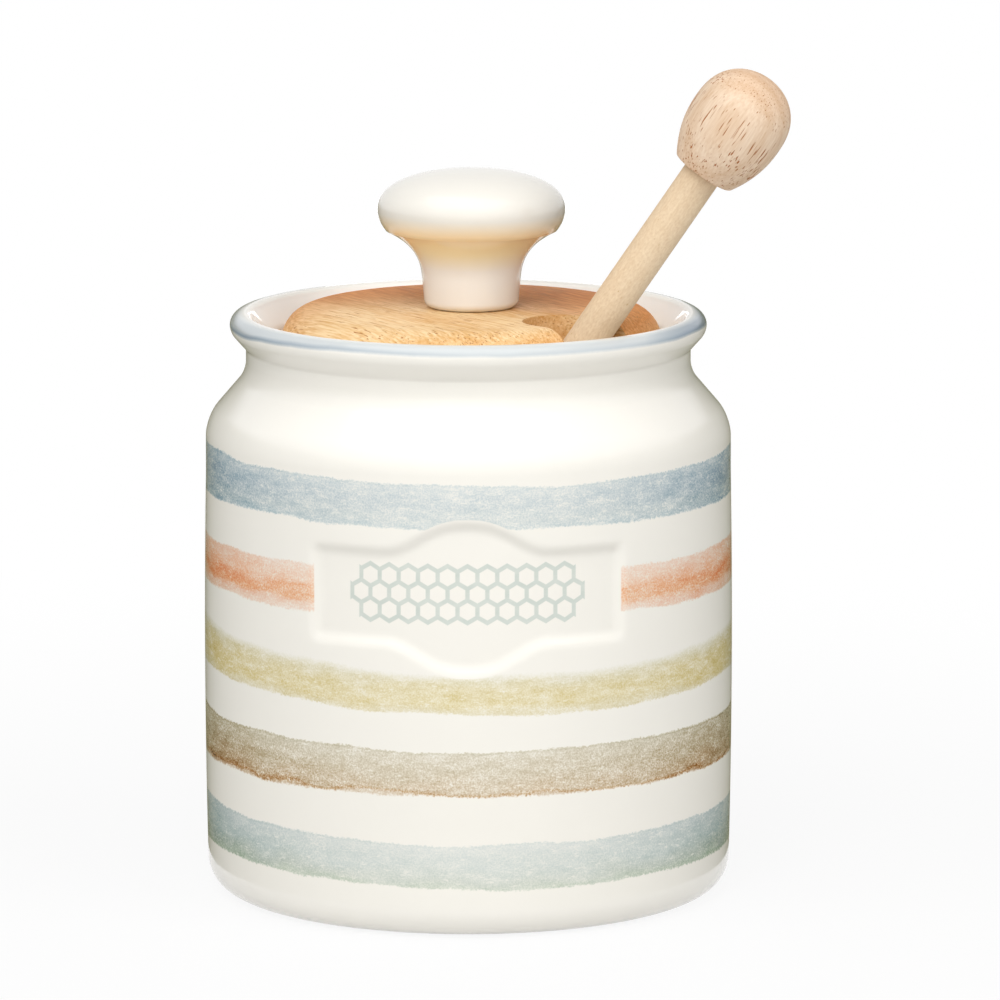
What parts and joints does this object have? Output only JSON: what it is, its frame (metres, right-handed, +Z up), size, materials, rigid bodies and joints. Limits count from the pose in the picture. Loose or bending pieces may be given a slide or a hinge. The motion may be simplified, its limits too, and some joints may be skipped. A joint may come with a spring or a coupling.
{
  "type": "honey pot",
  "caption": "Straight-sided ceramic honey pot with a lift-off wooden lid, a ceramic lid knob and a wooden dipper that leans out through a notch in the lid.",
  "frame": {"origin": "centre of the pot's flat underside", "axes": "+Z up along the pot's axis; -Y out of the front, where the sunk label is; +X to the right, the side that the dipper leans to"},
  "size_m": [0.1107, 0.1008, 0.1606],
  "materials": {
    "pot_glaze": "clear gloss glaze over a cream body with soft painted stripes in blue, coral, yellow, brown and pale green",
    "knob_glaze": "clear gloss glaze over a cream body",
    "lid_beech": "oiled steamed beech, satin",
    "shaft_birch": "bare sanded birch dowel",
    "grip_rubberwood": "bare sanded rubberwood with open pores",
    "head_beech": "bare turned beech",
    "insert_brass": "turned brass",
    "screw_steel": "zinc-plated steel"
  },
  "bodies": {
    "pot": {"pot_body": "pot_glaze"},
    "lid": {"lid_disc": "lid_beech", "lid_knob": "knob_glaze", "knob_insert": "insert_brass", "knob_screw": "screw_steel", "screw_washer": "screw_steel"},
    "dipper": {"dipper_shaft": "shaft_birch", "dipper_grip": "grip_rubberwood", "dipper_head": "head_beech"}
  },
  "joints": [
    {"name": "lid_lift", "type": "slide", "parent": "pot", "child": "lid", "axis": [0.2791, 0.2639, 0.9233], "range_m": [0, 0.06]},
    {"name": "dipper_lift", "type": "slide", "parent": "pot", "child": "dipper", "axis": [0.5556, -0.0869, 0.8269], "range_m": [0, 0.05]}
  ]
}
